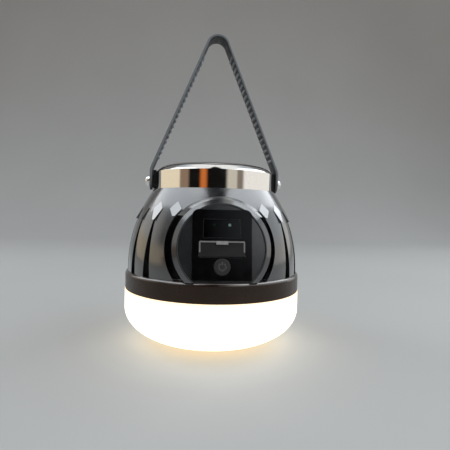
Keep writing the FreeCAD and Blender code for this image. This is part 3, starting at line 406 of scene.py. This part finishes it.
def glass(name, color, roughness, smudge=0.06):
    """Clear or tinted window with faint smudges."""
    surface = Surface(name, color, roughness, {"Transmission Weight": 1.0, "IOR": 1.49})
    smudges = surface.noise(14 * MM, 6)
    surface.join(surface.spread(smudges, roughness, roughness + smudge), "Roughness")
    surface.bump(surface.noise(30 * MM, 2), 0.01 * MM, surface.rounded(0.25 * MM))
    return surface.material


def gloss(name, color, roughness, wear_and_highlight):
    """Glossy moulding: a hard clear skin with fingerprints over a deep colour, its edges paler, partly worn and
    partly painted highlight.
    """
    skin = {"Specular IOR Level": 0.2, "Coat Weight": 0.3, "Coat Roughness": 0.05}
    surface = Surface(name, color, roughness, skin)
    rounded = surface.rounded(0.3 * MM)
    # Sharp edges painted paler: partly worn, partly a painted edge highlight
    surface.join(surface.mix(surface.sharp(rounded), color, toned(color, 1.5, wear_and_highlight)), "Base Color")
    prints = surface.noise(5 * MM, 8)
    surface.join(surface.spread(prints, roughness - 0.04, roughness + 0.1), "Roughness")
    surface.bump(surface.noise(25 * MM, 2), 0.02 * MM, rounded)
    return surface.material


def diffuser():
    """Milky dome lit from inside: white in its middle, warmer towards its foot, and dimmer and warmer at its rim
    as painted shade under the trim ring.
    """
    low, high = (corner.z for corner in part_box("diffuser_dome"))
    surface = Surface("diffuser_white", (0.85, 0.82, 0.76), 0.35, {"Emission Strength": GLOW_STRENGTH})
    # Over the shaded rim the glow holds its last stop: painted shade under the trim ring
    share = surface.spread(surface.axis(surface.place, "Z"), 0, 1, low, high - GLOW_SHADED_RIM)
    ramp = surface.add("ShaderNodeValToRGB", {"Fac": share})
    while len(ramp.color_ramp.elements) < len(GLOW_STOPS):
        ramp.color_ramp.elements.new(0.5)
    for element, (place, color) in zip(ramp.color_ramp.elements, GLOW_STOPS):
        element.position = place
        element.color = (*color, 1)
    surface.join(ramp.outputs["Color"], "Emission Color")
    surface.join(surface.spread(surface.noise(20 * MM), 0.3, 0.42), "Roughness")
    surface.bump(surface.noise(0.8 * MM, 2), 0.02 * MM)
    return surface.material


def solar_cells():
    """Dark blue cells with fine fingers and silver bars between them."""
    surface = Surface("solar_cell", (0.01, 0.016, 0.05), 0.25)
    split = surface.add("ShaderNodeSeparateXYZ", {"Vector": surface.place})

    def lines(axis, pitch, width):
        """Mask of parallel lines, the first ones half a pitch from the middle."""
        turns = surface.math("MULTIPLY", split.outputs[axis], 1 / pitch)
        part = surface.math("FRACT", surface.math("ADD", turns, LINE_SHIFT))
        away = surface.math("ABSOLUTE", surface.math("SUBTRACT", part, 0.5))
        return surface.math("GREATER_THAN", away, 0.5 - width / pitch / 2)

    bars = surface.math("MAXIMUM", lines("X", CELL_PITCH, CELL_BAR), lines("Y", ROW_PITCH, ROW_BAR))
    fingers = surface.math("MULTIPLY", lines("Y", FINGER_PITCH, FINGER_WIDTH), FINGER_SHARE)
    blotches = surface.spread(surface.noise(4 * MM, 5), 0, 1)
    cells = surface.mix(blotches, (0.006, 0.01, 0.036), (0.014, 0.024, 0.08))
    silver = surface.math("MAXIMUM", bars, fingers)
    surface.join(surface.mix(silver, cells, (0.55, 0.56, 0.58)), "Base Color")
    surface.join(surface.spread(bars, 0.22, 0.38, 0, 1), "Roughness")
    return surface.material


def board(name, mask, copper):
    """Circuit board: solder mask with faint tracks under it."""
    surface = Surface(name, mask, 0.4)
    pitch = 6 * MM
    bricks = surface.add("ShaderNodeTexBrick", {
        "Vector": surface.place, "Scale": 1 / pitch, "Mortar Size": 0.06,
        "Color1": (*mask, 1), "Color2": (*toned(mask, 0.85, 0), 1), "Mortar": (*copper, 1)})
    surface.join(bricks.outputs["Color"], "Base Color")
    surface.bump(bricks.outputs["Fac"], 0.03 * MM)
    return surface.material


def lit(name, color, strength):
    """Small light of one colour, uneven as a light pipe's end is."""
    surface = Surface(name, color, 0.4, {"Emission Strength": strength})
    grain = surface.spread(surface.noise(0.8 * MM, 3), 0, 1)
    surface.join(surface.mix(grain, color, toned(color, 1.1, 0.1)), "Emission Color")
    return surface.material


def make_materials():
    """One material for each of the record's slots, and more for facets, strap ribs and battery lights."""
    black = (0.015, 0.016, 0.0175)
    satin = {"Specular IOR Level": 1.0, "Coat Weight": 1.0, "Coat IOR": 1.7, "Coat Roughness": 0.12}
    # Warm specular tint on the trim: a painted warm reflection of the dome's glow
    warm = {"Specular IOR Level": 0.5, "Specular Tint": (1.0, 0.8, 0.68, 1),
            "Coat IOR": 2.0, "Coat Roughness": 0.15}
    return {
        "housing_black": moulded("housing_black", black, 0.21, 0.07, values=satin),
        "facet_polish": moulded("facet_polish", black, 0.2, 0.1, values=satin | {"Coat IOR": 2.5}),
        # The trim's warm brown shift is a painted reflection of the dome's glow
        "trim_black": moulded("trim_black", (0.014, 0.008, 0.005), 0.3, 0.05, values=warm, polish=True),
        "diffuser_white": diffuser(),
        "chrome": metal("chrome", (0.86, 0.85, 0.83), 0.06),
        # Its last colour paints the strap's narrow sides pale as a highlight
        "strap_rubber": rubber("strap_rubber", (0.007, 0.008, 0.009), 0.45, (0.2, 0.215, 0.23)),
        # Pale ribs: a painted highlight that stands for the glints on the strap's ribs
        "strap_rib_highlight": rubber("strap_rib_highlight", (0.19, 0.205, 0.22), 0.45),
        "seal_rubber": rubber("seal_rubber", (0.03, 0.03, 0.03), 0.7),
        "lug_black": moulded("lug_black", (0.006, 0.006, 0.0065), 0.42, 0.03),
        "fascia_gloss": gloss("fascia_gloss", (0.003, 0.003, 0.0035), 0.12, 0.12),
        "lens_tint": glass("lens_tint", (0.06, 0.07, 0.07), 0.02),
        "flap_black": port_cover(),
        # Its strong edge lift is mostly a painted highlight on the button's rim and symbol
        "button_black": moulded("button_black", (0.025, 0.024, 0.0235), 0.4, 0.22, edge=0.5),
        "steel": metal("steel", (0.56, 0.56, 0.55), 0.28, (1, 8, 1)),
        "brass": metal("brass", (0.7, 0.52, 0.25), 0.3, (6, 1, 1)),
        "aluminium": metal("aluminium", (0.72, 0.73, 0.74), 0.35, (8, 1, 1)),
        "board_green": board("board_green", (0.02, 0.12, 0.05), (0.05, 0.2, 0.08)),
        "board_white": board("board_white", (0.8, 0.8, 0.78), (0.7, 0.7, 0.66)),
        "led_yellow": lit("led_yellow", (1.0, 0.82, 0.4), 1.5),
        "led_green": lit("led_green", (0.2, 0.9, 0.35), 0.4),
        "led_lit": lit("led_lit", (0.72, 1.0, 0.8), 2.2),
        "led_dim": lit("led_dim", (0.1, 0.45, 0.2), 0.25),
        "led_off": moulded("led_off", (0.01, 0.014, 0.011), 0.4, 0.0),
        "holder_white": moulded("holder_white", (0.72, 0.72, 0.7), 0.5, 0.0),
        "part_black": moulded("part_black", (0.02, 0.02, 0.021), 0.5, 0.03),
        "cell_wrap": gloss("cell_wrap", (0.05, 0.16, 0.5), 0.3, 0.1),
        "nickel": metal("nickel", (0.66, 0.64, 0.6), 0.25, (1, 6, 1)),
        "solar_cell": solar_cells(),
        "clear_cover": glass("clear_cover", (0.95, 0.97, 0.98), 0.01, 0.04),
        "wire_red": rubber("wire_red", (0.4, 0.03, 0.02), 0.5),
    }


def dress_nodes(materials):
    """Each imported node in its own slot's material."""
    for part in frame["record"]["subparts"]:
        mesh = nodes[part["node"]].data
        mesh.materials.clear()
        mesh.materials.append(materials[part["material_slot"]])


def add_piece(name, vertices, faces, body, slot, materials):
    """New smooth mesh on a body, in a slot's material."""
    mesh = bpy.data.meshes.new(name)
    mesh.from_pydata(vertices, [], faces)
    shape = bmesh.new()
    shape.from_mesh(mesh)
    bmesh.ops.recalc_face_normals(shape, faces=shape.faces)
    shape.to_mesh(mesh)
    shape.free()
    mesh.polygons.foreach_set("use_smooth", [True] * len(mesh.polygons))
    mesh.materials.append(materials[slot])
    piece = bpy.data.objects.new(name, mesh)
    bpy.context.scene.collection.objects.link(piece)
    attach(piece, body)
    return piece


def gather(vertices, faces, more_vertices, more_faces):
    """More points and faces put into a mesh's lists."""
    first = len(vertices)
    vertices += more_vertices
    faces += [tuple(first + v for v in face) for face in more_faces]


def strap_lean():
    """Lean of the strap's sides from upright, so that they run into its top arch."""
    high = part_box("handle_strap")[1]
    side = high.x - STRAP_THICKNESS / 2
    apex = high.z - STRAP_THICKNESS / 2 - STRAP_APEX_RADIUS
    rise = apex - joints["handle_swing"]["pos_m"][2] - STRAP_BEND_RISE
    return math.acos(STRAP_APEX_RADIUS / math.hypot(side, rise)) - math.atan2(rise, side)


def strap_line():
    """Middle line of the strap's right half, from below: places (x, z) and turns from upright."""
    low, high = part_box("handle_strap")
    half = STRAP_THICKNESS / 2
    side = high.x - half
    lean = strap_lean()
    apex = high.z - half - STRAP_APEX_RADIUS
    bend_start = joints["handle_swing"]["pos_m"][2] + STRAP_BEND_RISE - STRAP_BEND_RADIUS * math.tan(lean / 2)
    steps = round((bend_start - low.z) / STRAP_STEP)
    line = [(side, low.z + (bend_start - low.z) * i / steps, 0.0) for i in range(steps)]
    for i in range(BEND_STEPS + 1):
        angle = lean * i / BEND_STEPS
        line.append((side - STRAP_BEND_RADIUS * (1 - math.cos(angle)),
                     bend_start + STRAP_BEND_RADIUS * math.sin(angle), angle))
    last_x, last_z, angle = line[-1]
    top_x = STRAP_APEX_RADIUS * math.cos(lean)
    top_z = apex + STRAP_APEX_RADIUS * math.sin(lean)
    steps = round(math.hypot(last_x - top_x, top_z - last_z) / STRAP_STEP)
    line += [(last_x + (top_x - last_x) * i / steps, last_z + (top_z - last_z) * i / steps, lean)
             for i in range(1, steps)]
    for i in range(APEX_STEPS + 1):
        angle = lean + (math.pi / 2 - lean) * i / APEX_STEPS
        line.append((STRAP_APEX_RADIUS * math.cos(angle), apex + STRAP_APEX_RADIUS * math.sin(angle), angle))
    return line


def strap_section(half_width):
    """Outline of the strap's section: across its width and out of its face, with rounded edges."""
    edge = min(STRAP_EDGE, half_width / 2)
    return rounded_outline(2 * half_width, STRAP_THICKNESS, edge, SECTION_STEPS)


def make_strap(materials):
    """Strap swept along its line, with round lower ends and a hole at each pivot."""
    low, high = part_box("handle_strap")
    half_width = high.y
    middle = low.z + half_width
    right = strap_line()
    line = right + [(-x, z, math.pi - turn) for x, z, turn in reversed(right[:-1])]
    vertices = []
    for x, z, turn in line:
        reach = max(middle - z, 0)
        width = math.sqrt(max(half_width ** 2 - reach ** 2, (STRAP_END_SHARE * half_width) ** 2))
        for across, out in strap_section(width):
            vertices.append((x + out * math.cos(turn), across, z + out * math.sin(turn)))
    faces = tube_faces(len(line), len(strap_section(half_width)))
    strap = add_piece("strap", vertices, faces, "handle", "strap_rubber", materials)
    drill(strap, STRAP_HOLE, joints["handle_swing"]["pos_m"], high.x + STRAP_THICKNESS)
    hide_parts("handle_strap")


def tube_faces(rings, count):
    """Faces of a closed tube of rings of points, with a face over each end."""
    faces = [tuple(range(count)), tuple(range((rings - 1) * count, rings * count))]
    for ring in range(rings - 1):
        for i in range(count):
            j = (i + 1) % count
            faces.append((ring * count + i, ring * count + j, (ring + 1) * count + j, (ring + 1) * count + i))
    return faces


def drill(piece, radius, place, reach):
    """Round hole along X right through a piece, at a place."""
    drilling = bmesh.new()
    turn = Matrix.Translation(Vector(place)) @ Matrix.Rotation(math.pi / 2, 4, "Y")
    bmesh.ops.create_cone(drilling, cap_ends=True, segments=HOLE_SIDES, radius1=radius, radius2=radius,
                          depth=2 * reach, matrix=turn)
    mesh = bpy.data.meshes.new("drill")
    drilling.to_mesh(mesh)
    drilling.free()
    tool = bpy.data.objects.new("drill", mesh)
    bpy.context.scene.collection.objects.link(tool)
    hole = piece.modifiers.new("hole", "BOOLEAN")
    hole.object = tool
    hole.solver = "EXACT"
    drilled = bpy.data.meshes.new_from_object(piece.evaluated_get(bpy.context.evaluated_depsgraph_get()))
    piece.modifiers.clear()
    piece.data = drilled
    drilled.set_sharp_from_angle(angle=SHARP_ANGLE)
    bpy.data.objects.remove(tool)


def make_strap_ribs(materials):
    """Rounded cross ribs along the straight inner faces of both sides of the strap."""
    line = strap_line()
    lean = strap_lean()
    straight = [(x, z) for x, z, turn in line if turn == lean]
    start = Vector((straight[0][0], 0, straight[0][1]))
    along = Vector((straight[-1][0], 0, straight[-1][1])) - start
    inward = Vector((-math.cos(lean), 0, -math.sin(lean)))
    count = int((along.length - 2 * RIB_MARGIN) / RIB_PITCH) + 1
    vertices = []
    faces = []
    for i in range(count):
        middle = start + along.normalized() * (RIB_MARGIN + RIB_PITCH * i) + inward * (STRAP_THICKNESS / 2)
        for side in (1, -1):
            points, rib_faces = rib(middle, along.normalized(), inward)
            gather(vertices, faces, [(side * x, y, z) for x, y, z in points], rib_faces)
    ribs = add_piece("strap_ribs", vertices, faces, "handle", "strap_rubber", materials)
    # The ribs take the pale material: a painted highlight for their glints
    ribs.data.materials[0] = materials["strap_rib_highlight"]
    ribs.data.set_sharp_from_angle(angle=SHARP_ANGLE)


def rib(middle, along, inward):
    """One rib across the strap: half round in section, with round ends."""
    points = []
    for ring in range(RIB_RINGS + 1):
        share = math.cos(math.pi * ring / RIB_RINGS)
        across = Vector((0, share * RIB_LENGTH / 2, 0))
        height_share = max(1 - abs(share) ** RIB_FULLNESS, RIB_END_HEIGHT)
        width_share = RIB_END_WIDTH + (1 - RIB_END_WIDTH) * height_share
        for i in range(RIB_SIDES + 1):
            angle = math.pi * i / RIB_SIDES
            out = RIB_HEIGHT * height_share * math.sin(angle)
            aside = RIB_WIDTH / 2 * width_share * math.cos(angle)
            points.append(middle + along * aside + inward * out + across)
        for end in (-1, 1):
            points.append(middle + along * (end * RIB_WIDTH / 2) - inward * RIB_ROOT + across)
    return points, tube_faces(RIB_RINGS + 1, len(points) // (RIB_RINGS + 1))


def facet_skin(mesh, facet):
    """Closed skin over a flat group of faces: its points and its faces."""
    out = facet[0].normal
    skin = bmesh.new()
    for face in facet:
        skin.faces.new([skin.verts.new(mesh.vertices[i].co) for i in face.vertices])
    bmesh.ops.remove_doubles(skin, verts=skin.verts[:], dist=SKIN_WELD)
    roots = skin.verts[:]
    made = bmesh.ops.extrude_face_region(skin, geom=skin.faces[:], use_keep_orig=True)["geom"]
    for item in made:
        if isinstance(item, bmesh.types.BMVert):
            item.co += out * SKIN_PROUD
    for root in roots:
        root.co -= out * SKIN_DEPTH
    skin.verts.index_update()
    points = [vertex.co.copy() for vertex in skin.verts]
    faces = [tuple(vertex.index for vertex in face.verts) for face in skin.faces]
    skin.free()
    return points, faces


def make_facets(materials):
    """Polished skins on the housing's diamond facets, its large flat faces of one slope and height."""
    mesh = nodes["upper_housing"].data
    leaning = {}
    for face in mesh.polygons:
        astray = abs(face.normal.z - math.sin(FACET_SLOPE))
        if astray < FACET_SLACK and FACET_FOOT < face.center.z < FACET_HEAD:
            bearing = math.degrees(math.atan2(face.normal.x, face.normal.y))
            leaning.setdefault(round(bearing, 1), []).append(face)
    vertices = []
    faces = []
    for facet in leaning.values():
        if sum(face.area for face in facet) > FACET_LEAST_AREA:
            gather(vertices, faces, *facet_skin(mesh, facet))
    skins = add_piece("facet_skins", vertices, faces, "lantern", "housing_black", materials)
    skins.data.materials[0] = materials["facet_polish"]
    skins.data.set_sharp_from_angle(angle=SHARP_ANGLE)


def make_solar_window(materials):
    """Clear domed cover over the solar cells, flat underneath."""
    low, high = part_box("solar_cover")
    radius = high.x
    rise = high.z - low.z - SOLAR_EDGE
    curve = (radius ** 2 + rise ** 2) / (2 * rise)
    half_angle = math.asin(radius / curve)
    outline = [(radius, low.z + SOLAR_GAP)]
    for i in range(SOLAR_RINGS):
        angle = half_angle * (1 - i / SOLAR_RINGS)
        outline.append((curve * math.sin(angle), high.z - curve * (1 - math.cos(angle))))
    vertices = []
    for reach, z in outline:
        for i in range(SOLAR_SIDES):
            angle = 2 * math.pi * i / SOLAR_SIDES
            vertices.append((reach * math.cos(angle), reach * math.sin(angle), z))
    faces = tube_faces(len(outline), SOLAR_SIDES)
    window = add_piece("solar_window", vertices, faces, "lantern", "clear_cover", materials)
    window.data.set_sharp_from_angle(angle=SHARP_ANGLE)
    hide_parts("solar_cover")


def pod_axes():
    """Directions across, up and out of the control pod's face."""
    out = -Vector(joints["button_press"]["axis"])
    across = Vector((1, 0, 0))
    return across, out.cross(across), out


def rounded_outline(width, height, corner, steps):
    """Points of a rectangle with rounded corners, or of a circle, across and up from its middle."""
    is_circle = math.isclose(width, 2 * corner) and math.isclose(height, 2 * corner)
    count = steps if is_circle else steps + 1
    points = []
    for turn, side, rise in ((0, 1, 1), (1, -1, 1), (2, -1, -1), (3, 1, -1)):
        for i in range(count):
            angle = math.pi / 2 * (turn + i / steps)
            points.append((side * (width / 2 - corner) + corner * math.cos(angle),
                           rise * (height / 2 - corner) + corner * math.sin(angle)))
    return points


def pod_plate(name, middle, size, corner, thickness, slot, materials):
    """Thin plate that lies in the pod's face, its front at the middle given, with a softened front edge."""
    across, up, out = pod_axes()
    width, height = size
    ease = thickness / 3
    rings = ((0, thickness), (0, ease), (ease, 0))
    vertices = []
    for inset, depth in rings:
        for u, v in rounded_outline(width - 2 * inset, height - 2 * inset, corner - inset, CORNER_STEPS):
            vertices.append(middle + across * u + up * v - out * depth)
    faces = tube_faces(len(rings), len(vertices) // len(rings))
    return add_piece(name, vertices, faces, "lantern", slot, materials)


def make_display(materials):
    """Dark film on the back of the window with three battery lights."""
    across, up, out = pod_axes()
    low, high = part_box("display_lens")
    middle = (low + high) / 2
    lens_back = middle - out * (LENS_THICKNESS / 2 + FILM_FRONT)
    pod_plate("display_film", lens_back, FILM_SIZE, FILM_CORNER, FILM_THICKNESS, "fascia_gloss", materials)
    for step, state in LIGHT_STATES.items():
        place = lens_back + across * (step * LIGHT_PITCH) + up * LIGHT_RISE + out * LIGHT_PROUD
        light = pod_plate("battery_light_" + state, place, (2 * LIGHT_RADIUS, 2 * LIGHT_RADIUS), LIGHT_RADIUS,
                          LIGHT_PROUD, "led_green", materials)
        light.data.materials[0] = materials["led_" + state]


def make_camera():
    """Camera at the photo's place and angle."""
    camera = bpy.data.cameras.new("camera")
    camera.sensor_width = CAMERA_SENSOR
    camera.lens = CAMERA_LENS
    camera.clip_start = CAMERA_NEAR
    reach = math.cos(CAMERA_DROP)
    ahead = Vector((math.sin(CAMERA_YAW) * reach, math.cos(CAMERA_YAW) * reach, -math.sin(CAMERA_DROP)))
    level = ahead.cross(Vector((0, 0, 1))).normalized()
    above = level.cross(ahead)
    up = above * math.cos(CAMERA_ROLL) - level * math.sin(CAMERA_ROLL)
    right = ahead.cross(up)
    holder = bpy.data.objects.new("camera", camera)
    holder.matrix_world = Matrix.Translation(CAMERA_PLACE) @ Matrix((right, up, -ahead)).transposed().to_4x4()
    bpy.context.scene.collection.objects.link(holder)
    bpy.context.scene.camera = holder


def make_stage():
    """Pale floor that sweeps up into a backdrop."""
    line = [(FLOOR_FRONT, 0.0), (FLOOR_BACK, 0.0)]
    for i in range(1, SWEEP_STEPS + 1):
        angle = math.pi / 2 * i / SWEEP_STEPS
        line.append((FLOOR_BACK + SWEEP_RADIUS * math.sin(angle), SWEEP_RADIUS * (1 - math.cos(angle))))
    line.append((FLOOR_BACK + SWEEP_RADIUS, BACKDROP_TOP))
    vertices = [(side * STAGE_HALF_WIDTH, y, z) for y, z in line for side in (-1, 1)]
    faces = [(2 * i, 2 * i + 1, 2 * i + 3, 2 * i + 2) for i in range(len(line) - 1)]
    mesh = bpy.data.meshes.new("floor")
    mesh.from_pydata(vertices, [], faces)
    mesh.polygons.foreach_set("use_smooth", [True] * len(faces))
    surface = Surface("floor", FLOOR_COLOR, FLOOR_ROUGHNESS)
    mottling = surface.spread(surface.noise(FLOOR_MOTTLE), 0, 1)
    surface.join(surface.mix(mottling, FLOOR_COLOR, toned(FLOOR_COLOR, 0.97, 0)), "Base Color")
    mesh.materials.append(surface.material)
    floor = bpy.data.objects.new("floor", mesh)
    bpy.context.scene.collection.objects.link(floor)


def add_softbox(name, place, target, size, power, color):
    """Rectangular soft light that faces a target."""
    light = bpy.data.lights.new(name, "AREA")
    light.shape = "RECTANGLE"
    light.size, light.size_y = size
    light.energy = power
    light.color = color
    holder = bpy.data.objects.new(name, light)
    holder.location = place
    holder.rotation_mode = "QUATERNION"
    holder.rotation_quaternion = (Vector(target) - Vector(place)).to_track_quat("-Z", "Y")
    bpy.context.scene.collection.objects.link(holder)


def make_lights():
    """Two large soft lights overhead to the left and right, and the room around them."""
    middle = Vector((0, 0, cad_box[1].z / 2))
    for name, (side, rise, power) in SOFTBOXES.items():
        away = Vector((side * math.sin(SOFTBOX_BEARING), -math.cos(SOFTBOX_BEARING), 0))
        back = Vector((side * math.cos(SOFTBOX_BEARING), math.sin(SOFTBOX_BEARING), 0))
        target = middle + back * SOFTBOX_BACK
        place = target + (away * math.cos(rise) + Vector((0, 0, math.sin(rise)))) * SOFTBOX_DISTANCE
        add_softbox(name, place, target, SOFTBOX_SIZE, power, SOFTBOX_COLOR)
    bpy.context.scene.world = make_room()


def panel(room, bearing, color, screen, blur):
    """Colour with one flat panel set in it, by its bearing."""
    middle, half, tint = screen
    away = room.math("ABSOLUTE", room.math("SUBTRACT", bearing, math.radians(middle)))
    share = room.spread(away, 1, 0, math.radians(half - blur / 2), math.radians(half + blur / 2))
    return room.mix(share, color, tint)


def make_room():
    """Room around the stage: a dark wall with panels in it, a frieze above it and a ceiling."""
    room = Room("room")
    split = room.add("ShaderNodeSeparateXYZ", {"Vector": room.add("ShaderNodeTexCoord").outputs["Generated"]})
    front = room.math("MULTIPLY", split.outputs["Y"], -1.0)
    bearing = room.math("ARCTAN2", split.outputs["X"], front)
    walls = WALL_COLOR
    for screen in PANELS.values():
        walls = panel(room, bearing, walls, screen, PANEL_BLUR)
    frieze = FRIEZE_COLOR
    for screen in FRIEZE_PANELS.values():
        frieze = panel(room, bearing, frieze, screen, FRIEZE_BLUR)
    height = split.outputs["Z"]
    overhead = room.spread(height, 0, 1, OVERHEAD_START, OVERHEAD_FULL)
    ceiling = room.mix(overhead, CEILING_COLOR, OVERHEAD_COLOR)
    ceiling = panel(room, bearing, ceiling, CEILING_GAP, CEILING_GAP_BLUR)
    sides = room.mix(room.spread(height, 0, 1, FRIEZE_START, FRIEZE_FULL), walls, frieze)
    color = room.mix(room.spread(height, 0, 1, CEILING_START, CEILING_FULL), sides, ceiling)
    room.tree.links.new(color, room.tree.nodes["Background"].inputs["Color"])
    return room.world


materials = make_materials()
dress_nodes(materials)
make_strap(materials)
make_strap_ribs(materials)
make_facets(materials)
make_solar_window(materials)
make_display(materials)
make_stage()
make_lights()
make_camera()
bpy.context.scene.view_settings.view_transform = "Standard"
